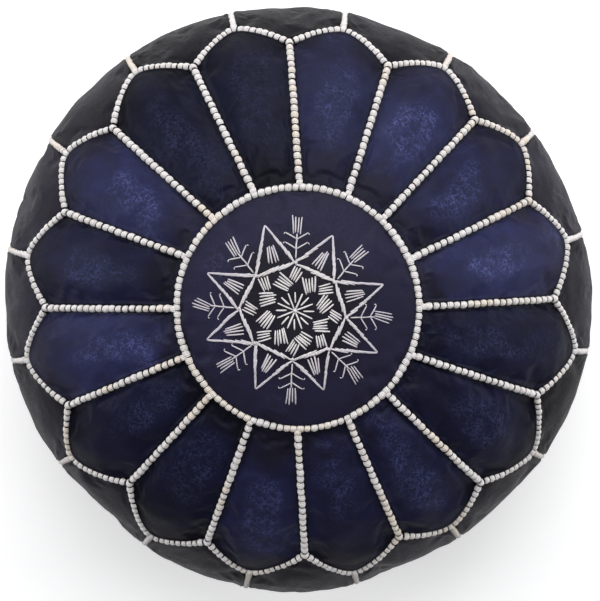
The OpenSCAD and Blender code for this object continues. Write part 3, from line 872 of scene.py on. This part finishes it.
def bead_set(line, centre, stretch, seed, swell=1.0, turned=0.0, warmth=0.0):
    point, tangent, normal = line.place(centre)
    i = np.arange(len(centre))
    slant = np.radians((hash01(i, seed, 2) - 0.5) * 12 + turned)[:, None]
    across = np.cross(normal, tangent)
    tangent, across = (
        tangent * np.cos(slant) + across * np.sin(slant),
        across * np.cos(slant) - tangent * np.sin(slant),
    )
    size = (1 + (hash01(i, seed, 3) - 0.5) * 0.14)[:, None, None] * swell
    local = BEAD_VERTS[None] * size * np.array([stretch, 1.0, 1.0])
    local[..., 2] *= (1 + (hash01(i, seed, 4) - 0.5) * 0.2)[:, None]
    local[..., 1] += ((hash01(i, seed, 5) - 0.5) * 0.5)[:, None]
    verts = (
        point[:, None]
        + local[..., :1] * tangent[:, None]
        + local[..., 1:2] * across[:, None]
        + local[..., 2:] * normal[:, None]
    )
    warm = smooth(noise(point, 38.0, 71) * 0.9 + (hash01(i, seed, 6) - 0.5) * 0.5 + warmth, 0.1, 0.9)
    return verts, np.repeat(warm[:, None], BEAD_VERTS.shape[0], 1)


def thread_object(name, sets, node):
    verts = np.concatenate([v.reshape(-1, 3) for v, _ in sets])
    tint = np.concatenate([t.ravel() for _, t in sets])
    count = len(verts) // len(BEAD_VERTS)
    faces = (BEAD_FACES[None] + (np.arange(count) * len(BEAD_VERTS))[:, None, None]).reshape(-1, 4)
    obj = new_object(name, verts, [faces], CREAM, {"tint": tint})
    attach(obj, ROOT)
    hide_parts(node)


WELT_R, WELT_DEPTH, WELT_SIDES = 2.05, 0.75, 10


def welt_object(name, line, start, end):
    """Piping that shows dark between the beads."""
    count = max(4, int((end - start) / 2.4))
    t = np.linspace(start, end, count, endpoint=not line.closed)
    point, tangent, normal = line.place(t)
    across = np.cross(normal, tangent)
    turn = np.arange(WELT_SIDES) * 2 * math.pi / WELT_SIDES
    radius = (WELT_R + 0.12 * np.sin(2 * math.pi * t / BEAD_PITCH))[:, None, None]
    outward = np.cos(turn)[:, None] * across[:, None] + np.sin(turn)[:, None] * normal[:, None]
    verts = ((point - normal * WELT_DEPTH)[:, None] + radius * outward).reshape(-1, 3)
    index = np.arange(len(verts)).reshape(count, WELT_SIDES)
    after = np.roll(index, -1, 1)
    last = count if line.closed else count - 1
    corners = [index, after, np.roll(after, -1, 0), np.roll(index, -1, 0)]
    parts = [np.stack(corners, -1)[:last].reshape(-1, 4)]
    if not line.closed:
        first_end, last_end = (
            np.stack([np.full(WELT_SIDES - 2, row[0]), row[1:-1], row[2:]], 1) for row in index[[0, -1]]
        )
        parts += [first_end[:, ::-1], last_end]
    fields = {key: np.zeros(len(verts)) for key in ("wear_and_sheen", "seam", "dye_and_shade")}
    fields["tone_and_light"] = np.ones(len(verts))
    obj = new_object(name, verts, parts, LIP, fields)
    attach(obj, ROOT)


RING_S = float(s_of_r(RING_R))
SPOKE_PITCH = 6.1


def round_cord(name, s, seed, swell):
    az = np.linspace(0, 360, 721)
    line = Line(az, np.full_like(az, s), closed=True)
    thread_object(f"{name}_thread", [beads(line, 0, line.length, seed, swell)], name)
    welt_object(f"{name}_welt", line, 0, line.length)


def spoke_cord(k):
    """Cord between two petals, with one bead turned along the ring and one over the valley."""
    s = np.linspace(RING_S, float(s_of_r(valley_at(k))), 240)
    line = Line(spoke_az(k) + lean(k, profile(s)[0]), s)
    sets = [
        beads(line, 5.4, line.length - 3.6, 100 + k, 0.99, SPOKE_PITCH),
        bead_set(line, np.array([3.2]), 0.9, 140 + k, 1.1, 84.0),
        bead_set(line, np.array([line.length]), 0.85, 160 + k, 1.12, 6.0),
    ]
    thread_object(f"petal_cord_thread_{two_digits(k)}", sets, "petal_cords")
    welt_object(f"petal_cord_welt_{two_digits(k)}", line, 2.0, line.length)


def scallop_cord(k):
    """Cord along a petal's outer edge, with one bead over the tip."""
    u = np.linspace(0, 1, 161)
    line = Line(*scallop(k, u))
    tip = float(np.interp(0.5, u, line.at))
    sets = [
        beads(line, 3.4, tip - 2.8, 200 + k, 0.98),
        beads(line, tip + 2.8, line.length - 3.4, 240 + k, 0.98),
        bead_set(line, np.array([tip]), 0.95, 280 + k, 0.98),
    ]
    thread_object(f"scallop_cord_thread_{two_digits(k)}", sets, "scallop_cord")
    welt_object(f"scallop_cord_welt_{two_digits(k)}", line, 0.0, line.length)


def side_cord(k):
    s = np.linspace(float(s_of_r(tip_at(k))), S_BASE, 240)
    line = Line(np.full_like(s, tip_az(k)), s, sink=1.6)
    sets = [beads(line, 2.4, line.length - 3.4, 300 + k, 0.95, warmth=0.4)]
    thread_object(f"side_cord_thread_{two_digits(k)}", sets, "side_cords")
    welt_object(f"side_cord_welt_{two_digits(k)}", line, 0.0, line.length - 1.0)


round_cord("medallion_cord", RING_S, 901, 1.05)
round_cord("base_cord", S_BASE, 902, 1.0)
for k in range(PETALS):
    spoke_cord(k)
    scallop_cord(k)
    side_cord(k)


# Embroidery on the medallion. Points are plan positions in millimetres.
STAR_TIP_R, STAR_NODE_R, STAR_TWIST, NODE_TWIST = 72.5, 40.0, 17.7, -4.2
STAR_OFFSET = np.array([-2.5, -1.2])
STAR_TIP_SHIFT = (0.5, -6, -1, 3, 1, -2.5, -5, 1)
STAR_TIP_TURN = (-2.5, -0.5, 0.5, 3, -0.5, -0.5, 1, -1)
STAR_NODE_SHIFT = (1, -1.5, -2, 1, 4.5, 0.5, -1.5, 0.5)
STAR_NODE_TURN = (-4.5, -6, 2, 6, 0.5, -3, 0, -1)
BONE_TURN = (4, 7, 1, -3, -2, -6, 1, 4.5)


def polar(r, a):
    return np.array([r * math.cos(math.radians(a)), r * math.sin(math.radians(a))])


def on_medallion(xy):
    """Height of the medallion's leather at plan positions, and the nominal normal there."""
    n, m = medallion_h.shape
    xy = xy + STAR_OFFSET
    r = np.hypot(xy[..., 0], xy[..., 1])
    az = np.degrees(np.arctan2(xy[..., 1], xy[..., 0])) % 360
    s = s_of_r(r)
    v = np.clip((s / RING_S - HUB_V) / (1 - HUB_V), 0, 1)
    x, y = az / 360 * n, v * (m - 1)
    i, j = np.floor(x).astype(int), np.clip(np.floor(y).astype(int), 0, m - 2)
    fx, fy = x - i, y - j
    h = (
        medallion_h[i % n, j] * (1 - fx) * (1 - fy) + medallion_h[(i + 1) % n, j] * fx * (1 - fy)
        + medallion_h[i % n, j + 1] * (1 - fx) * fy + medallion_h[(i + 1) % n, j + 1] * fx * fy
    )
    point, normal = frame_at(az, s)
    return point + normal * h[..., None], normal


class Sewing:
    """Stitches gathered into one mesh of small tubes that dip into the leather at both ends."""

    def __init__(self, seed):
        self.verts, self.faces, self.tints, self.seed, self.count = [], [], [], seed, 0

    def draw(self, k, salt):
        return float(hash01(self.seed, self.count, k, salt))

    def stitch(self, p, q, radius, proud, jitter=0.25):
        """One stitch from p to q, rising `proud` above the leather. Both ends stray by the jitter."""
        p = p + jitter * (2 * np.array([self.draw(1, 0), self.draw(2, 0)]) - 1)
        q = q + jitter * (2 * np.array([self.draw(3, 0), self.draw(4, 0)]) - 1)
        length = np.linalg.norm(q - p)
        d = (q - p) / length
        aside = np.array([-d[1], d[0]])
        rings, sides = max(6, min(12, int(length / 2) + 4)), 8
        t = np.linspace(0, 1, rings)
        t = t - 0.35 * np.sin(2 * math.pi * t) / (2 * math.pi)
        bend = 0.35 * (self.draw(5, 0) - 0.5) * np.sin(math.pi * t)
        xy = p + (q - p) * t[:, None] + aside * bend[:, None]
        ground, normal = on_medallion(xy)
        dip = 0.55
        rise = -dip + (proud + dip) * np.clip(np.sin(math.pi * np.clip(t, 0.0, 1)), 0, 1) ** 0.35
        centre = ground + normal * rise[:, None]
        along = np.gradient(centre, axis=0)
        along /= np.linalg.norm(along, axis=1, keepdims=True)
        across = np.cross(normal, along)
        up = np.cross(along, across)
        turn = np.arange(sides) * 2 * math.pi / sides
        size = radius * (0.9 + 0.2 * self.draw(6, 0)) * (0.8 + 0.2 * np.sin(math.pi * t))
        outward = np.cos(turn)[:, None] * across[:, None] + 0.85 * np.sin(turn)[:, None] * up[:, None]
        ring = centre[:, None] + size[:, None, None] * outward
        self.faces.append(tube_faces(sum(len(v) for v in self.verts), rings, sides))
        self.verts.append(ring.reshape(-1, 3))
        tint = smooth(np.linalg.norm(xy, axis=1), 12, 70) * 0.75 + 0.25 * self.draw(7, 0)
        self.tints.append(np.repeat(tint, sides))
        self.count += 1

    def stem(self, p, q, narrow=False):
        """A long line of slanted stitches that overlap, finer towards p if narrow."""
        reach, step, radius = 11.5, 4.6, 0.6
        length = np.linalg.norm(q - p)
        d = (q - p) / length
        across = np.array([-d[1], d[0]])
        n = int(round((length - reach) / step)) + 1
        slant = 1 if self.draw(8, n) > 0.5 else -1
        for i in range(n):
            along = i / (n - 1)
            wide = (0.15 + 0.85 * along if narrow else 1.0) * slant
            first = p + d * (length - reach) * along
            for side in (-0.35, 0.35):
                start = first + across * wide * (side - 0.8 - 0.4 * self.draw(9, i))
                end = first + d * reach + across * wide * (side + 0.8 + 0.6 * self.draw(10, i))
                if narrow and i == 0:
                    start = first + across * side * 0.3
                    end = first + d * reach + across * side * 1.2
                self.stitch(start, end, radius, 0.55, jitter=0.4 if i else 0.1)

    def block(self, p, a, count, length, spacing, radius, fan):
        """Parallel stitches centred at p in direction a, fanned a little and of uneven length."""
        for i in range(count):
            off = i - (count - 1) / 2
            d = polar(1, a + fan * off)
            side = polar(1, a + 90)
            mid = p + side * off * spacing
            size = length * (0.88 + 0.24 * self.draw(11, i))
            push = d * (self.draw(12, i) - 0.5) * length * 0.12
            self.stitch(mid - d * size / 2 + push, mid + d * size / 2 + push, radius, 0.5)

    def knot(self, p):
        """Three short, thick stitches that cross at p."""
        for i in range(3):
            d = polar(1.7, 60 * i + 40 * self.draw(13, i))
            self.stitch(p - d, p + d, 0.8, 0.95, jitter=0.15)

    def make(self, name, node):
        obj = new_object(
            name, np.concatenate(self.verts), [np.concatenate(self.faces)], STITCH,
            {"tint": np.concatenate(self.tints)},
        )
        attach(obj, ROOT)
        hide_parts(node)


def star_tip_az(i):
    return STAR_TWIST + 45 * i + STAR_TIP_TURN[i % 8]


def star_node_az(i):
    return NODE_TWIST + 45 * i + STAR_NODE_TURN[i % 8]


def star_tip(i):
    return polar(STAR_TIP_R + STAR_TIP_SHIFT[i % 8], star_tip_az(i))


def star_node(i):
    return polar(STAR_NODE_R + STAR_NODE_SHIFT[i % 8], star_node_az(i))


star, rosette, hatch, fishbone = (Sewing(500 + i) for i in range(4))
for i in range(8):
    star.stem(star_tip(i), star_node(i + 1), narrow=True)
    star.stem(star_node(i + 1), star_node(i + 2))
    star.stem(star_tip(i + 2), star_node(i + 2), narrow=True)
    star.knot(star_node(i))
for i in range(16):
    a = (STAR_TWIST if i % 2 == 0 else NODE_TWIST) + 45 * (i // 2)
    low = 0.6 if i % 2 == 0 else 6.3
    rosette.stitch(polar(low, a), polar(15.2, a + 2), 0.66, 0.5)
rosette.knot(np.zeros(2))
for i in range(8):
    big = (star_node_az(i) + star_node_az(i + 1)) / 2 - 1.8
    small = star_node_az(i) + 1
    middle = (star_tip(i) + star_node(i) + star_node(i + 1)) / 3
    hatch.block(polar(23.6, big), big + 35, 5, 12.8, 2.15, 0.69, 4.0)
    hatch.block(star_node(i) - polar(9.2, small), small - 28, 4, 11.0, 2.1, 0.67, 3.0)
    hatch.block(middle, star_tip_az(i) - 6, 4, 14.5, 2.1, 0.66, -5.0)
for i in range(8):
    a = NODE_TWIST + 45 * i + BONE_TURN[i]
    turn = np.array([polar(1, a), polar(1, a + 90)]).T
    foot_of = star_node(i)
    for x in (3.0, 9.0, 15.0):
        fishbone.stitch(foot_of + turn @ [x, 0], foot_of + turn @ [x + 8.0, 0], 0.62, 0.45)
    for foot in (11, 18.5):
        for side in (-1, 1):
            elbow = np.array([foot + 5.2, side * 9.3])
            hook = elbow + [-1.6, side * 1.0]
            fishbone.stitch(foot_of + turn @ [foot, 0], foot_of + turn @ elbow, 0.56, 0.45)
            fishbone.stitch(foot_of + turn @ elbow, foot_of + turn @ hook, 0.5, 0.4, jitter=0.15)
    uneven = 8 * math.sin(math.radians(97 * i + 265))
    fishbone.block(foot_of + turn @ [29, 0], a - 8 + uneven, 4, 14.5, 2.1, 0.6, 3.0)
star.make("star_stitches", "star_embroidery")
rosette.make("rosette_stitches", "rosette_embroidery")
hatch.make("hatch_stitches", "hatch_embroidery")
fishbone.make("fishbone_stitches", "fishbone_embroidery")


# Wadding: one lumpy mass inside the cover, hollow over the zip
def wadding():
    n = 192
    s = np.linspace(8, S_KNOTS[-1] - 2, 110)
    az = np.arange(n) * 360.0 / n
    point, normal = frame_at(az[:, None], s[None, :])
    inset = 9.0 - 5.6 * smooth(s, S_BASE - 20, S_BASE + 12)
    lumps = 1.2 * fractal(point, 46, 81, 3) * (1 - smooth(s, S_BASE - 30, S_BASE))[None, :]
    outside = point - normal * (inset[None, :] - lumps)[..., None]
    inner_r = np.concatenate([np.linspace(178, 156, 6), np.full(5, 153.5), np.linspace(148, 6, 36)])
    inner_z = np.concatenate([np.full(6, 3.0), np.linspace(4.0, 15.5, 5), np.full(36, 17.0)])
    a = np.radians(az)[:, None]
    under = np.stack([inner_r * np.cos(a), inner_r * np.sin(a), inner_z + 0 * a], -1)
    under[..., 2] += np.where(inner_z > 16, np.abs(noise(under, 22.0, 83)) * 3, 0)
    rows = np.concatenate([outside, under], 1)
    m = rows.shape[1]
    flat = np.vstack([rows.reshape(-1, 3), rows[:, 0].mean(0), rows[:, -1].mean(0)])
    first = np.arange(n) * m
    last = first + m - 1
    top = np.stack([np.full(n, n * m), first, np.roll(first, -1)], 1)
    low = np.stack([np.full(n, n * m + 1), np.roll(last, -1), last], 1)
    return new_object("cotton_stuffing", flat, [grid_faces(n, m, True), top, low], COTTON)


stuffing = wadding()
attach(stuffing, ROOT)
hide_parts("cotton_wadding", "rim_wadding")


# Zip: the CAD parts keep their shapes and get their finishes; a row of stitches holds each tape
def finish_node(name, mat):
    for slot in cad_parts[name].material_slots:
        slot.material = mat


for name in ("tape_front", "tape_back"):
    finish_node(f"zip_{name}", TAPE)
for name in ("teeth_front", "teeth_back", "top_stops", "bottom_stop", "slider"):
    finish_node(f"zip_{name}", BRASS)
finish_node("pull_tab", BRASS)
PATCH = leather("zip_patch_leather", (0.012, 0.0115, 0.013), (0.022, 0.021, 0.024),
                (0.034, 0.034, 0.040), (0.004, 0.004, 0.005), 0.5)
finish_node("zip_end_patches", PATCH)


def zip_stitching():
    verts, faces, tints = [], [], []
    rings, sides = 6, 6
    turn = np.arange(sides) * 2 * math.pi / sides
    outward = np.stack([0 * turn, np.cos(turn), np.sin(turn)], -1)
    t = np.linspace(0, 1, rings)
    stitch_len, from_middle, radius = 3.0, 11.2, 0.42
    for side in (-1, 1):
        for i, x in enumerate(np.arange(-124, 124.5, 4.0)):
            wobble = (float(hash01(i, side + 3, 91)) - 0.5) * 0.4
            centre = np.stack([
                x + stitch_len * (t - 0.5),
                np.full(rings, side * from_middle + wobble),
                BASE_RISE + 0.35 - 0.75 * np.sin(math.pi * t) ** 0.6,
            ], -1)
            faces.append(tube_faces(len(verts) * rings * sides, rings, sides))
            verts.append((centre[:, None] + radius * outward).reshape(-1, 3))
            tints.append(np.full(rings * sides, float(hash01(i, side + 3, 92))))
    obj = new_object("zip_tape_stitches", np.concatenate(verts), [np.concatenate(faces)], DARK_STITCH,
                     {"tint": np.concatenate(tints)})
    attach(obj, ROOT)


zip_stitching()


# Floor, light and camera
def floor_material():
    g = Nodes("pale_floor")
    spots = g.noise(3.0, 2.0)
    base = g.mix(spots, (0.86, 0.86, 0.87), (0.88, 0.88, 0.885))
    g.shader.inputs["Emission Color"].default_value = (1.0, 1.0, 1.0, 1.0)
    g.shader.inputs["Emission Strength"].default_value = 0.45
    return g.finish(base, 0.9, None, Specular_IOR_Level=0.1)


def flat_disc(name, radius, z, mat):
    n = 96
    a = np.arange(n) * 2 * math.pi / n
    rings = radius * np.array([0.02, 0.25, 0.5, 1.0])[:, None]
    verts = np.stack([rings * np.cos(a), rings * np.sin(a), np.full((4, n), z)], -1).reshape(-1, 3)
    index = np.arange(4 * n).reshape(4, n)
    after = np.roll(index, -1, 1)
    faces = np.stack([index[:-1], index[1:], after[1:], after[:-1]], -1).reshape(-1, 4)
    fan = np.stack([np.full(n, 4 * n), index[0], after[0]], -1)
    return new_object(name, np.vstack([verts, [0, 0, z]]), [faces, fan], mat)


floor = flat_disc("floor", 30000, -0.3, floor_material())


def soft_light(name, place, aim, width, height, power):
    data = bpy.data.lights.new(name, "AREA")
    data.shape = "RECTANGLE"
    data.size, data.size_y = width, height
    data.energy = power
    lamp = bpy.data.objects.new(name, data)
    bpy.context.scene.collection.objects.link(lamp)
    lamp.location = place
    lamp.rotation_euler = (Vector(aim) - Vector(place)).to_track_quat("-Z", "Y").to_euler()


soft_light("softbox_top", (0.0, 0.9, 2.3), (0, 0.05, 0.2), 1.3, 0.9, 22)
soft_light("softbox_back", (0.25, 1.9, 1.35), (0, 0, 0.2), 1.8, 1.1, 22)
soft_light("softbox_left", (-1.9, 0.45, 1.15), (0, 0, 0.2), 1.2, 1.0, 15)
soft_light("softbox_right", (1.9, 0.35, 1.15), (0, 0, 0.2), 1.2, 1.0, 15)

world = bpy.data.worlds.new("studio")
world.use_nodes = True
world.node_tree.nodes["Background"].inputs["Color"].default_value = (0.95, 0.97, 1.0, 1.0)
world.node_tree.nodes["Background"].inputs["Strength"].default_value = 0.15
bpy.context.scene.world = world

camera_data = bpy.data.cameras.new("camera")
camera_data.sensor_fit = "HORIZONTAL"
camera_data.sensor_width = 36.0
camera_data.lens = 101.1
camera_data.clip_start, camera_data.clip_end = 0.05, 100.0
camera = bpy.data.objects.new("camera", camera_data)
bpy.context.scene.collection.objects.link(camera)
eye, target = Vector((-0.010, 0.080, 1.65)), Vector((0.0031, -0.0022, 0.15))
back = (eye - target).normalized()
roll = math.radians(1.2)
right = Vector((math.sin(roll), math.cos(roll), 0.0)).cross(back).normalized()
up = back.cross(right)
camera.matrix_world = Matrix.Translation(eye) @ Matrix((right, up, back)).transposed().to_4x4()
scene = bpy.context.scene
scene.camera = camera
scene.view_settings.view_transform = "Standard"
scene.view_settings.look = "None"
